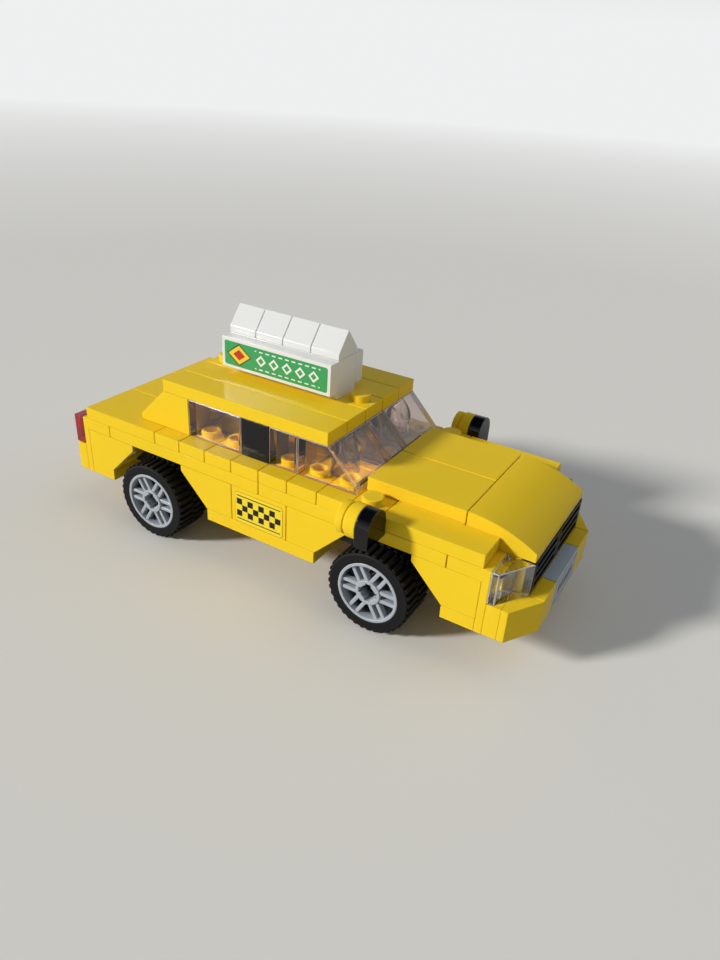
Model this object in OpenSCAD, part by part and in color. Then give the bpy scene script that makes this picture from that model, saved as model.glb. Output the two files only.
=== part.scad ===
// Toy taxi built from interlocking plastic bricks, six studs wide.
// X runs forward, Y to the taxi's left, Z up. The origin lies on the ground below the middle
// of the car, so the tyres stand on Z = 0. Whole numbers below count studs and plates.

/* [Brick lattice] */
// Distance between two neighbouring studs
pitch = 8; // [7.6:0.1:8.4]
// Height of one plate; a brick is three plates
plate_h = 3.2; // [3:0.1:3.4]
// Diameter of a stud
stud_d = 4.8; // [4.5:0.1:5]
// Height of a stud
stud_h = 1.7; // [1.4:0.1:1.9]
// Gap at each side face of a piece
side_gap = 0.1; // [0.05:0.05:0.2]
// Play between a stud and what grips it
grip_gap = 0.1; // [0.05:0.05:0.2]
// Thickness of the closed top of a piece
top_t = 1; // [0.8:0.1:1.2]
// Upright lip at the thin end of a sloped piece
lip_h = 1.6; // [1.2:0.1:2]

/* [Brackets] */
// Thickness of a bracket's upright wall
bracket_t = 1.8; // [1.4:0.1:2]

/* [Wheels] */
// Outer diameter of a tyre
tyre_d = 20.5; // [20.2:0.1:21.4]
// Diameter of the tyre's flat side wall
sidewall_d = 19.7; // [19.2:0.1:20]
// Diameter of the tread between the lugs
tread_base_d = 18.8; // [18.2:0.1:19]
// Tread lugs round one side of a tyre
lugs = 36; // [24:1:40]
// Width of a wheel and its tyre
wheel_w = 9.9; // [9:0.1:10.5]
// Outer diameter of the rim
rim_d = 15; // [14.4:0.1:15.4]
// Thickness of the rim's outer ring
rim_t = 0.8; // [0.6:0.1:1]
// Depth of the groove in which the tyre sits
rim_groove = 0.4; // [0.2:0.1:0.6]
// Width of the rim's flange on each side of the groove
rim_flange = 1.2; // [0.8:0.1:1.6]
// Outer diameter of the hub
hub_d = 6.2; // [5.6:0.1:6.6]
// Pairs of spokes in a rim
spoke_pairs = 6; // [5:1:7]
// Width of one spoke
spoke_w = 0.95; // [0.6:0.05:1.1]
// Distance between the two spokes of a pair
spoke_gap = 1.1; // [0.8:0.1:1.4]
// Thickness of the spokes
spoke_t = 1.6; // [1.2:0.1:2]
// Depth of the spokes below the rim's face
spoke_inset = 0.5; // [0.3:0.1:1.4]
// Diameter of the pin on which a wheel turns
pin_d = 3; // [2.8:0.1:3.1]
// Clearance all round that pin
pin_clear = 0.08; // [0.04:0.01:0.1]
// Height of a wheel's centre above the underside of the body
axle_rise = 0.8; // [0.4:0.1:1.6]
// Outer face of a wheel past the side of the body
wheel_proud = 3; // [2.5:0.1:3.5]
// Gap between a wheel and the beam that carries it
wheel_gap = 0.4; // [0.3:0.1:0.6]

/* [Details] */
// Diameter of the hole in an open stud
open_stud_d = 3.2; // [2.8:0.1:3.4]
// Lip of the curved hood piece at its front edge
hood_lip = 2; // [1.6:0.1:2.4]
// Height of the mirrors' centre above the belt line
mirror_rise = 0; // [-0.5:0.1:0.5]
// Thickness of the upright ear of a mirror bracket
ear_t = 1.6; // [1.4:0.1:1.8]
// Slots in a grille tile
grille_slots = 3; // [2:1:4]
// Width of the ribs between those slots
grille_rib = 0.9; // [0.7:0.1:1.1]
// Depth of the slots in a grille tile
grille_depth = 0.7; // [0.3:0.1:0.8]
// Height of the sign's side studs above the foot of its core
side_stud_z = 5.6; // [5.4:0.1:5.8]

/* [Hidden] */
$fn = 48;
over = 0.01;                                   // how far a cut runs past a face
root_t = 0.2;                                  // how deep a boss is rooted in its plate
brick_h = 3 * plate_h;
wedge_h = 2 * plate_h;
inset = (pitch - stud_d) / 2 - grip_gap;       // from the lattice line to the inner wall
tube_d = sqrt(2) * pitch - stud_d - 2 * grip_gap;
post_d = pitch - stud_d - 2 * grip_gap;
wall_t = inset - side_gap;

body_n = 14;                                   // length of the body in studs
trunk_n = 3;                                   // length of the trunk lid in studs
roof_n = 6;                                    // length of the roof in studs
sign_n = 4;                                    // length of the sign in studs
glass_n = 4;                                   // stud line where the side windows begin
windscreen_n = glass_n + 4;
hood_n = windscreen_n + 2;
wall_rows = 2;                                 // studs above each other on a bracket's wall

floor_k = 4;                                   // levels, in plates above the underside:
belt_k = floor_k + 1;                          // floor, belt line, cabin, roof, sign, ridges
cabin_k = belt_k + 1;
roof_k = cabin_k + 3;
sign_k = roof_k + 1;
ridge_k = sign_k + 3;
rear_axle_n = 3;                               // stud line of the rear axle
front_axle_n = 11;                             // stud line of the front axle
body_l = body_n * pitch;
rear_x = side_gap - bracket_t - plate_h;       // rear face of the tail lamps
front_x = body_l - side_gap + bracket_t + 3 * plate_h;
mid_x = (rear_x + front_x) / 2;
floor_z = tyre_d / 2 - axle_rise;              // underside of the body
axle_z = tyre_d / 2;
belt_z = floor_z + cabin_k * plate_h;
wall_z = floor_z + belt_k * plate_h - wall_rows * pitch; // foot of the brackets' walls
half_w = 3 * pitch;                            // half the body's width
rear_plane = side_gap - bracket_t;             // what the rear tiles are pressed on
front_plane = body_l - side_gap + bracket_t;   // what the lamps and bumper are pressed on

pin_x_rear = rear_axle_n * pitch;
pin_x_front = front_axle_n * pitch;
wheel_out = half_w + wheel_proud;              // outer face of a wheel, from the middle
wheel_in = wheel_out - wheel_w;
recess_share = 0.36;                           // depth of the notched hole in wheel widths
hub_recess = wheel_w * recess_share;           // depth of the notched hole in a hub
hub_face = 0.2;                                // how far the hub lies below the rim's face
round_fn = 96;                                 // facets of a wheel
curve_fn = 180;                                // facets of the hood's curve
notch_w = 1.3;
notch_r = 2.25;
notch_hole_r = 1.8;
pin_head_r = notch_hole_r - pin_clear;
pin_head_l = 0.7;
arm_share = 1.6;                                // height of a wheel holder's arm in pin diameters
bead_gap = 0.02;                               // seat of the tyre on the rim
slot_share = 0.45;                             // share of the tread's edge that is slot
shoulder_share = 0.05;                         // thickness of a tyre's side wall in wheel widths
shoulder_cut = 0.25;                           // chamfer round a side wall

// ---- Places in the car ------------------------------------------------------------------

// Puts a piece at stud line i, stud line j from the middle and plate k above the underside.
module at(i, j, k) {
    translate([i * pitch - mid_x, j * pitch, floor_z + k * plate_h]) children();
}

// The same piece on the right and, mirrored, on the left.
module both_sides() {
    children();
    mirror([0, 1, 0]) children();
}

// Lays a piece on the front brackets: its foot faces back, its own X runs along Y.
module on_front(j, row, layer = 0) {
    translate([front_plane + layer * plate_h - mid_x, j * pitch, wall_z + row * pitch])
        rotate([90, 0, 90]) children();
}

// Lays a piece on the rear brackets: its foot faces forward, its own X runs against Y.
module on_rear(j, row) {
    translate([rear_plane - mid_x, j * pitch, wall_z + row * pitch])
        rotate([90, 0, -90]) children();
}

// ---- Brick shapes -----------------------------------------------------------------------

// A block over nx by ny studs, narrower than the lattice by the side gap.
module block(nx, ny, h) {
    translate([side_gap, side_gap, 0])
        cube([nx * pitch - 2 * side_gap, ny * pitch - 2 * side_gap, h]);
}

// The hollow below such a block.
module hollow(nx, ny, depth) {
    translate([inset, inset, -over])
        cube([nx * pitch - 2 * inset, ny * pitch - 2 * inset, depth + over]);
}

// Gripping tubes of a wide piece, or thin posts of a piece one stud wide.
module grips(nx, ny, depth) {
    if (nx > 1 && ny > 1)
        for (i = [1 : nx - 1], j = [1 : ny - 1])
            translate([i * pitch, j * pitch, 0]) tube(depth);
    else if (nx * ny > 1)
        for (i = [1 : max(nx, ny) - 1])
            translate([nx > 1 ? i * pitch : pitch / 2, ny > 1 ? i * pitch : pitch / 2, 0])
                cylinder(d = post_d, h = depth + root_t);
}

module tube(depth) {
    difference() {
        cylinder(d = tube_d, h = depth + root_t);
        translate([0, 0, -over]) cylinder(d = stud_d, h = depth + over);
    }
}

module stud() {
    translate([0, 0, -root_t]) cylinder(d = stud_d, h = stud_h + root_t);
}

module studs(nx, ny, h) {
    for (i = [0 : nx - 1], j = [0 : ny - 1])
        translate([(i + 0.5) * pitch, (j + 0.5) * pitch, h]) stud();
}

// A tile: smooth on top, hollow below.
module tile(nx, ny, h = plate_h) {
    difference() {
        block(nx, ny, h);
        hollow(nx, ny, h - top_t);
    }
    grips(nx, ny, h - top_t);
}

// A plate or brick: a tile with studs on top.
module brick(nx, ny, h = plate_h) {
    tile(nx, ny, h);
    studs(nx, ny, h);
}

// A plate over one by two studs with a single open stud in the middle.
module jumper() {
    tile(1, 2);
    translate([pitch / 2, pitch, plate_h]) difference() {
        stud();
        cylinder(d = open_stud_d, h = stud_h + over);
    }
}

// A brick two studs long whose front half falls at 45 degrees; ny studs wide.
module slope(ny) {
    far = 2 * pitch - side_gap;
    inner_far = far - wall_t;
    inner_low = stud_h + grip_gap;
    inner_top = brick_h - top_t;
    outer = [[side_gap, 0], [far, 0], [far, lip_h], [pitch, brick_h], [side_gap, brick_h]];
    inner = [[inset, -over], [inner_far, -over], [inner_far, inner_low],
             [inner_far - inner_top + inner_low, inner_top], [inset, inner_top]];
    difference() {
        slab(outer, side_gap, ny * pitch - side_gap);
        slab(inner, inset, ny * pitch - inset);
    }
    intersection() {
        grips(2, ny, inner_top);
        slab(outer, 0, ny * pitch);
    }
    for (j = [0 : ny - 1]) translate([pitch / 2, (j + 0.5) * pitch, brick_h]) stud();
}

// An outline in X and Z, made into a slab from y0 to y1.
module slab(outline, y0, y1) {
    translate([0, y1, 0]) rotate([90, 0, 0]) linear_extrude(y1 - y0) polygon(outline);
}

// A brick two studs long on top and one stud long below: the wheel arch's corner.
module slope_inverted() {
    far = 2 * pitch - side_gap;
    outline = [[side_gap, 0], [pitch, 0], [far, brick_h - lip_h], [far, brick_h], [side_gap, brick_h]];
    difference() {
        slab(outline, side_gap, pitch - side_gap);
        hollow(1, 1, brick_h - top_t);
    }
    studs(2, 1, brick_h);
}

// A one-stud wedge, two plates high at the back and thin at the front.
module wedge() {
    far = pitch - side_gap;
    difference() {
        slab([[side_gap, 0], [far, 0], [far, wedge_h], [side_gap, lip_h]], side_gap, far);
        hollow(1, 1, stud_h + grip_gap);
    }
}

// A plate over two studs with an upright wall of two by two side studs.
module bracket() {
    brick(1, 2);
    translate([pitch - side_gap, side_gap, plate_h - wall_rows * pitch])
        cube([bracket_t, 2 * pitch - 2 * side_gap, wall_rows * pitch]);
    for (j = [0.5, 1.5], row = [0.5, 1.5])
        translate([pitch - side_gap + bracket_t, j * pitch, plate_h - row * pitch])
            rotate([0, 90, 0]) stud();
}

// ---- Wheels -----------------------------------------------------------------------------

// A plate at the axle line with an arm and a stub pin on each side.
module wheel_holder(x) {
    arm_w = pin_d * 2;
    arm_h = pin_d * arm_share;
    beam_end = wheel_in - wheel_gap;
    tip = wheel_out - hub_face - hub_recess + pin_clear;
    color("#1b1b1d") translate([x - mid_x, 0, 0]) {
        translate([-pitch, -pitch, floor_z]) brick(2, 2);
        both_sides() translate([-arm_w / 2, -beam_end, axle_z - arm_h / 2])
            cube([arm_w, beam_end - pitch + inset, arm_h]);
        both_sides() translate([0, -beam_end + root_t, axle_z]) rotate([90, 0, 0]) {
            cylinder(d = pin_d, h = tip - beam_end + root_t + pin_head_l);
            translate([0, 0, tip - beam_end + root_t]) cylinder(r = pin_head_r, h = pin_head_l);
        }
    }
}

// Puts a wheel, drawn with its axis up and its outer face on top, on its pin.
module on_pin(x, side) {
    translate([x - mid_x, side * wheel_in, axle_z]) rotate([side * -90, 0, 0]) children();
}

module rim_profile() {
    r = rim_d / 2;
    g = r - rim_groove;
    polygon([[r - rim_t, 0], [r, 0], [r, rim_flange], [g, rim_flange + rim_groove],
             [g, wheel_w - rim_flange - rim_groove], [r, wheel_w - rim_flange],
             [r, wheel_w], [r - rim_t, wheel_w]]);
}

module rim_ring() {
    rotate_extrude($fn = round_fn) rim_profile();
}

module notched_hole() {
    circle(r = notch_hole_r);
    for (a = [0, 90]) rotate(a) square([2 * notch_r, notch_w], center = true);
}

module rim(x, side) {
    hub_top = wheel_w - hub_face;
    spoke_z = wheel_w - spoke_inset - spoke_t;
    color("#b9bec3") on_pin(x, side) {
        rim_ring();
        difference() {
            union() {
                cylinder(d = hub_d, h = hub_top);
                for (n = [0 : spoke_pairs - 1], s = [-1, 1])
                    rotate(n * 360 / spoke_pairs)
                        translate([0, s * (spoke_gap + spoke_w) / 2 - spoke_w / 2, spoke_z])
                            cube([rim_d / 2 - rim_t + root_t, spoke_w, spoke_t]);
            }
            translate([0, 0, -over]) cylinder(d = pin_d + 2 * pin_clear, h = wheel_w);
            translate([0, 0, hub_top - hub_recess]) linear_extrude(hub_recess + over) notched_hole();
        }
    }
}

// One row of lugs as a toothed disc; its gullets lie below the tread.
module lug_row(w, turn) {
    step = 360 / lugs;
    half = step * (1 - slot_share) / 2;
    foot = tread_base_d / 2 - root_t;
    tip = tyre_d / 2;
    corners = [[foot, -half], [tip, -half], [tip, 0], [tip, half], [foot, half]];
    rotate(turn) linear_extrude(w)
        polygon([for (n = [0 : lugs - 1], c = corners)
            [c[0] * cos(n * step + c[1]), c[0] * sin(n * step + c[1])]]);
}

module tyre(x, side) {
    r = rim_d / 2 + bead_gap;
    g = r - rim_groove;
    s = sidewall_d / 2;
    t = tread_base_d / 2;
    shoulder = wheel_w * shoulder_share;
    row_w = wheel_w / 2 - shoulder;
    c = shoulder_cut;
    color("#26272a") on_pin(x, side) difference() {
        union() {
            rotate_extrude($fn = round_fn)
                polygon([[0, 0], [s - c, 0], [s, c], [s, shoulder], [t, shoulder],
                         [t, wheel_w - shoulder], [s, wheel_w - shoulder], [s, wheel_w - c],
                         [s - c, wheel_w], [0, wheel_w]]);
            translate([0, 0, shoulder - root_t]) lug_row(row_w, 0);
            translate([0, 0, wheel_w / 2 + root_t]) lug_row(row_w, 180 / lugs);
        }
        rotate_extrude($fn = round_fn)
            polygon([[0, -over], [r, -over], [r, rim_flange], [g, rim_flange + rim_groove],
                     [g, wheel_w - rim_flange - rim_groove], [r, wheel_w - rim_flange],
                     [r, wheel_w + over], [0, wheel_w + over]]);
    }
}

module rear_wheel_holder() { wheel_holder(pin_x_rear); }
module front_wheel_holder() { wheel_holder(pin_x_front); }
module rim_rear_left() { rim(pin_x_rear, 1); }
module rim_rear_right() { rim(pin_x_rear, -1); }
module rim_front_left() { rim(pin_x_front, 1); }
module rim_front_right() { rim(pin_x_front, -1); }
module tyre_rear_left() { tyre(pin_x_rear, 1); }
module tyre_rear_right() { tyre(pin_x_rear, -1); }
module tyre_front_left() { tyre(pin_x_front, 1); }
module tyre_front_right() { tyre(pin_x_front, -1); }

// ---- Hidden core ------------------------------------------------------------------------

// Two bricks side by side from stud line i, between the bottom and the floor plates.
module core_bricks(i) {
    color("#202124") for (j = [-2, 0]) at(i, j, 1) brick(4, 2, brick_h);
}

module rear_core_bricks() { core_bricks(rear_axle_n - 2); }
module front_core_bricks() { core_bricks(front_axle_n - 2); }

// These two tie the floor plates together below the doors.
module middle_core_bricks() { core_bricks(rear_axle_n + 2); }

module rear_end_brick() {
    color("#202124") at(0, -2, 1) brick(1, 4, brick_h);
}

module front_end_brick() {
    color("#202124") at(body_n - 1, -2, 1) brick(1, 4, brick_h);
}

module bottom_plate_middle() {
    color("#f2c21b") at(rear_axle_n + 2, -3, 0) brick(4, 6);
}

module bottom_plate_rear() {
    color("#f2c21b") at(0, -3, 0) brick(1, 6);
}

module bottom_plate_front() {
    color("#f2c21b") at(body_n - 1, -3, 0) brick(1, 6);
}

module floor_plate_rear() {
    color("#f2c21b") at(1, -3, floor_k) brick(6, 6);
}

module floor_plate_front() {
    color("#f2c21b") at(7, -3, floor_k) brick(6, 6);
}

// ---- Sides ------------------------------------------------------------------------------

// Arch corners behind the rear wheels.
module rear_arches() {
    color("#f6c81e") both_sides() at(rear_axle_n - 3, -3, 1) slope_inverted();
}

// Arch corners ahead of the front wheels.
module front_arches() {
    color("#f6c81e") both_sides() at(front_axle_n + 3, -2, 1) rotate(180) slope_inverted();
}

// Arch corners at both ends of each door.
module sill_slopes() {
    color("#f6c81e") both_sides() {
        at(rear_axle_n + 3, -2, 1) rotate(180) slope_inverted();
        at(front_axle_n - 3, -3, 1) slope_inverted();
    }
}

module door_left() {
    color("#f6c81e") at(rear_axle_n + 3, 2, 1) brick(2, 1, brick_h);
}

module door_right() {
    color("#f6c81e") at(rear_axle_n + 3, -3, 1) brick(2, 1, brick_h);
}

module front_brackets() {
    color("#f6c81e") for (j = [-3, -1, 1]) at(body_n - 1, j, floor_k) bracket();
}

module rear_brackets() {
    color("#f6c81e") for (j = [3, 1, -1]) at(1, j, floor_k) rotate(180) bracket();
}

// ---- Belt line, trunk and cabin ---------------------------------------------------------

module belt_plates_left() {
    color("#f6c81e") for (i = [trunk_n : hood_n - 1]) at(i, 1, belt_k) jumper();
}

module belt_plates_right() {
    color("#f6c81e") for (i = [trunk_n : hood_n - 1]) at(i, -3, belt_k) jumper();
}

module belt_plates_middle() {
    color("#f6c81e") for (i = [trunk_n : hood_n - 1]) at(i, -1, belt_k) jumper();
}

module trunk_tiles() {
    color("#f6c81e") for (j = [-3, -1, 1]) at(0, j, belt_k) tile(trunk_n, 2);
}

// Sloped pillars at the rear corners of the cabin.
module c_pillars() {
    color("#f6c81e") both_sides() at(glass_n, -1.5, cabin_k) rotate(180) slope(1);
}

module b_pillars() {
    color("#1b1b1d") both_sides() at(glass_n + 2, -2.5, cabin_k) brick(1, 1, brick_h);
}

module side_glass(j) {
    color("#8a7468", 0.55) {
        at(glass_n, j, cabin_k) glass_brick(2);
        at(glass_n + 3, j, cabin_k) glass_brick(1);
    }
}

// A clear brick has no post inside.
module glass_brick(nx) {
    difference() {
        block(nx, 1, brick_h);
        hollow(nx, 1, brick_h - top_t);
    }
    studs(nx, 1, brick_h);
}

module side_glass_left() { side_glass(1.5); }
module side_glass_right() { side_glass(-2.5); }

module windscreen_left() {
    color("#8a7468", 0.55) at(windscreen_n, 0.5, cabin_k) slope(2);
}

module windscreen_middle() {
    color("#8a7468", 0.55) at(windscreen_n, -0.5, cabin_k) slope(1);
}

module windscreen_right() {
    color("#8a7468", 0.55) at(windscreen_n, -2.5, cabin_k) slope(2);
}

module rear_window() {
    color("#8a7468", 0.55) for (j = [-0.5, 0.5, 1.5]) at(glass_n, j, cabin_k) rotate(180) slope(1);
}

module roof_tiles() {
    color("#f6c81e") for (j = [-2.5, -1.5, 0.5, 1.5]) at(trunk_n, j, roof_k) tile(roof_n, 1);
}

module roof_centre_plate() {
    color("#f6c81e") at(trunk_n, -0.5, roof_k) brick(roof_n, 1);
}

// ---- Roof sign --------------------------------------------------------------------------

module sign_core() {
    color("#f2f3f4") at(glass_n, -0.5, sign_k) {
        brick(sign_n, 1, brick_h);
        for (i = [0 : sign_n - 1]) translate([(i + 0.5) * pitch, 0, side_stud_z]) {
            translate([0, side_gap, 0]) rotate([90, 0, 0]) stud();
            translate([0, pitch - side_gap, 0]) rotate([-90, 0, 0]) stud();
        }
    }
}

// A tile on each side of the core, the ground of the sign's picture.
module sign_panels() {
    color("#f2f3f4") both_sides() at(glass_n, -0.5, sign_k)
        translate([0, side_gap, side_stud_z - pitch / 2]) rotate([90, 0, 0]) tile(sign_n, 1);
}

// A one-stud roof ridge with a low lip on both sides.
module ridge() {
    half = pitch / 2 - side_gap;
    difference() {
        translate([side_gap, pitch / 2, 0]) rotate([90, 0, 90]) linear_extrude(pitch - 2 * side_gap)
            polygon([[-half, 0], [half, 0], [half, lip_h], [0, wedge_h], [-half, lip_h]]);
        hollow(1, 1, stud_h + grip_gap);
    }
}

module sign_ridges() {
    color("#f2f3f4") for (i = [0 : sign_n - 1]) at(glass_n + i, -0.5, ridge_k) ridge();
}

// ---- Hood and front fenders -------------------------------------------------------------

module hood_tiles() {
    color("#f6c81e") for (j = [-2, 0]) at(hood_n, j, cabin_k) tile(3, 2);
}

module hood_plates() {
    color("#f6c81e") {
        at(hood_n, -2, belt_k) brick(1, 4);
        at(hood_n + 1, -2, belt_k) brick(2, 4);
    }
}

// The hood's curved front, four studs wide.
module hood_curve() {
    run = 2 * pitch - side_gap;
    drop = wedge_h - hood_lip;
    curve_r = (run * run + drop * drop) / (2 * drop);
    w = 4 * pitch;
    color("#f6c81e") at(body_n - 1, -2, belt_k) {
        difference() {
            translate([0, w - side_gap, 0]) rotate([90, 0, 0]) linear_extrude(w - 2 * side_gap)
                intersection() {
                    translate([side_gap, 0]) square([run - side_gap, wedge_h]);
                    translate([0, wedge_h - curve_r]) circle(r = curve_r, $fn = curve_fn);
                }
            hollow(1, 4, plate_h - top_t);
        }
        grips(1, 4, plate_h - top_t);
    }
}

module fender_tiles() {
    color("#f6c81e") both_sides() at(hood_n + 1, -3, belt_k) tile(3, 1);
}

// ---- Mirrors ----------------------------------------------------------------------------

ear_inset = 0.4;                               // how far an ear lies inside the mirror's edge
mirror_y = half_w + pitch / 2;
mirror_z = belt_z + mirror_rise;
ear_x = hood_n * pitch + side_gap + ear_t;         // rear face of the ears

// Stands a piece on its side so that its axis runs forward through the mirror's centre.
module on_mirror_axis(x) {
    translate([x - mid_x, -mirror_y, mirror_z]) rotate([90, 0, 90]) children();
}

// A one-stud plate with an upright ear beside it, and a stud on the ear.
module mirror_brackets() {
    ear_r = pitch / 2 - ear_inset;
    color("#f6c81e") both_sides() {
        at(hood_n, -3, belt_k) brick(1, 1);
        on_mirror_axis(ear_x) {
            linear_extrude(ear_t) {
                circle(r = ear_r);
                translate([0, -plate_h]) square([pitch / 2 + 2 * side_gap, plate_h]);
            }
            translate([0, 0, ear_t]) stud();
        }
    }
}

// A round one-stud plate on each ear.
module mirror_stems() {
    color("#f6c81e") both_sides() on_mirror_axis(ear_x + ear_t) {
        difference() {
            cylinder(d = pitch - 2 * side_gap, h = plate_h);
            translate([0, 0, -over]) cylinder(d = stud_d + 2 * grip_gap, h = plate_h - top_t + over);
        }
        translate([0, 0, plate_h]) stud();
    }
}

// The mirror itself: a one-stud tile with a round top.
module mirrors() {
    r = pitch / 2 - side_gap;
    hole = pitch / 2 - inset;
    color("#141416") both_sides() on_mirror_axis(ear_x + ear_t + plate_h) difference() {
        linear_extrude(plate_h) {
            circle(r = r);
            translate([-r, -r]) square([2 * r, r]);
        }
        translate([0, 0, -over]) cylinder(r = hole, h = plate_h - top_t + over);
    }
}

// ---- Front end --------------------------------------------------------------------------

module headlamps() {
    color("#e8e8ea", 0.5) both_sides() on_front(-3, 1) wedge();
}

// Two tiles with slots along them, which stand out as far as the headlamps' thick ends.
module grille_tiles() {
    clear_w = pitch - 2 * side_gap - (grille_slots + 1) * grille_rib;
    slot_w = clear_w / grille_slots;
    color("#141416") for (j = [-2, 0]) on_front(j, 1, 1) difference() {
        tile(2, 1);
        for (n = [0 : grille_slots - 1])
            translate([wall_t, side_gap + grille_rib + n * (slot_w + grille_rib), plate_h - grille_depth])
                cube([2 * pitch - 2 * wall_t, slot_w, grille_depth + over]);
    }
}

module bumper_beam() {
    color("#f6c81e") on_front(-3, 0) brick(6, 1);
}

// One plate behind the grille and one behind the number plate.
module front_plates() {
    color("#f6c81e") {
        on_front(-2, 1) brick(4, 1);
        on_front(-2, 0, 1) brick(4, 1);
    }
}

// Wedges at the bumper's corners and a one-stud tile beside each.
module bumper_trim() {
    color("#f6c81e") both_sides() {
        on_front(-3, 0, 1) wedge();
        on_front(-2, 0, 2) tile(1, 1);
    }
}

module number_plate_front() {
    color("#c9d2da") on_front(-1, 0, 2) tile(2, 1);
}

// ---- Rear end ---------------------------------------------------------------------------

module tail_lights() {
    color("#b3161b", 0.7) both_sides() on_rear(-2, 1) tile(1, 1);
}

// A four-stud tile below the trunk lid and two two-stud tiles beside the number plate.
module tailgate_tiles() {
    color("#f6c81e") {
        on_rear(2, 1) tile(4, 1);
        on_rear(3, 0) tile(2, 1);
        on_rear(-1, 0) tile(2, 1);
    }
}

module number_plate_rear() {
    color("#c9d2da") on_rear(1, 0) tile(2, 1);
}

rear_wheel_holder();
front_wheel_holder();
rim_rear_left();
rim_rear_right();
rim_front_left();
rim_front_right();
tyre_rear_left();
tyre_rear_right();
tyre_front_left();
tyre_front_right();
rear_core_bricks();
front_core_bricks();
middle_core_bricks();
rear_end_brick();
front_end_brick();
bottom_plate_middle();
bottom_plate_rear();
bottom_plate_front();
floor_plate_rear();
floor_plate_front();
rear_arches();
front_arches();
sill_slopes();
door_left();
door_right();
front_brackets();
rear_brackets();
belt_plates_left();
belt_plates_right();
belt_plates_middle();
trunk_tiles();
c_pillars();
b_pillars();
side_glass_left();
side_glass_right();
windscreen_left();
windscreen_middle();
windscreen_right();
rear_window();
roof_tiles();
roof_centre_plate();
sign_core();
sign_panels();
sign_ridges();
hood_tiles();
hood_curve();
hood_plates();
fender_tiles();
mirror_brackets();
mirror_stems();
mirrors();
headlamps();
grille_tiles();
bumper_beam();
front_plates();
bumper_trim();
number_plate_front();
tail_lights();
tailgate_tiles();
number_plate_rear();
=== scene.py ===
# %% [markdown]
# # A toy taxi built from plastic bricks
#
# The taxi is a stack of moulded plastic bricks: yellow ABS for the body, black and grey for the
# chassis, smoky clear plastic for the windows, rubber for the tyres. Each brick is already in the
# frame at its real size. What a frame can't hold is the finish: every real edge is slightly round
# from the mould, every face has a soft gloss that isn't quite even, and prints lie on the plastic
# as thin films. This lesson gives each piece that finish, one kind of piece at a time.

# %% Load the frame
from math import cos, pi, radians, sin

import bmesh
import bpy
from mathutils import Matrix, Vector


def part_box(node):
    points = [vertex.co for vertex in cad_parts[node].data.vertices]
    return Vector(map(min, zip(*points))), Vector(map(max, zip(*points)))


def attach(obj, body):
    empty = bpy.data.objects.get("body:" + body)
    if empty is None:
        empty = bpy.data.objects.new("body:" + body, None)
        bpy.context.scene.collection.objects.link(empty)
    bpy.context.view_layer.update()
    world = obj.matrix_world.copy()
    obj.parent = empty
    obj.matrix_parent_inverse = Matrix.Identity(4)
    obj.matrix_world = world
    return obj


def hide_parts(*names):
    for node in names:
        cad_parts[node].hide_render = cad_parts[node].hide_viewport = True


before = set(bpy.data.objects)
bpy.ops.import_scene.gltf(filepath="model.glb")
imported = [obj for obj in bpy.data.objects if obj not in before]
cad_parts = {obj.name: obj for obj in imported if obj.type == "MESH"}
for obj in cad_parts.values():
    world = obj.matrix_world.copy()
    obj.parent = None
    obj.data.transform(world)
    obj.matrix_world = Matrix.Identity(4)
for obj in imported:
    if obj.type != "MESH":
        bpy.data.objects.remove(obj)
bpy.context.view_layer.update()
mm = 0.001
print("nodes:", len(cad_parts))

# %% [markdown]
# ## The camera
#
# The photograph was taken with a phone held close to the toy, so near edges look clearly larger
# than far ones. The camera's place, tilt and focal length were worked out from the studs and seams,
# which lie on a lattice of known size. It stands to the right of the bonnet, looks down by about
# 30 degrees, and is held 4 degrees off level.

# %% Place the camera
camera_place = Vector((88.63, -140.74, 111.72)) * mm
camera_turn = radians(29.15)
camera_down = radians(29.65)
camera_roll = radians(3.99)

camera_data = bpy.data.cameras.new("photo_camera")
camera_data.lens = 27.86
camera_data.sensor_width = 36.0
camera_data.clip_start = 0.005
camera_data.clip_end = 60.0
camera = bpy.data.objects.new("photo_camera", camera_data)
bpy.context.scene.collection.objects.link(camera)
camera.matrix_world = (
    Matrix.Translation(camera_place)
    @ Matrix.Rotation(camera_turn, 4, "Z")
    @ Matrix.Rotation(pi / 2 - camera_down, 4, "X")
    @ Matrix.Rotation(camera_roll, 4, "Z")
)
bpy.context.scene.camera = camera
print("camera at", [round(c, 4) for c in camera.location])

# %% [markdown]
# ## Sizes that every piece shares
#
# The bricks sit on a lattice: a stud every 8 mm, a plate every 3.2 mm. What is modelled here takes
# its place from the boxes of the frame's nodes, and needs only a plate's height and the usual round
# of an edge besides.

# %% Name the shared sizes
plate = 3.2 * mm
edge_round = 0.17 * mm
print("a brick's edge is rounded by", edge_round / mm, "mm")


# %% [markdown]
# ## Effects that many finishes share
#
# Moulded plastic is never one flat colour. Its pigment flows in faint clouds, its gloss varies with
# the polish of the mould, handling leaves hair-fine scratches, and the rounded edges turn a little
# duller and lighter than the faces, partly as real wear and partly as a painted highlight. Edges
# that face down lie in the seams between stacked bricks, and their colour is darkened as painted
# shade.
# One node group makes these five effects from the object's own coordinates and its marked edges, so
# that they stay on the piece from any side. It gives out a colour, a roughness and a height, and
# each material decides how much of each it wants.

# %% Helpers for shader nodes
def add_node(tree, kind, **values):
    """Adds one shader node and sets its named inputs and properties."""
    node = tree.nodes.new(kind)
    for name, value in values.items():
        if name in node.inputs:
            node.inputs[name].default_value = value
        else:
            setattr(node, name, value)
    return node


def wire(tree, source, target):
    tree.links.new(source, target)


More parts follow.
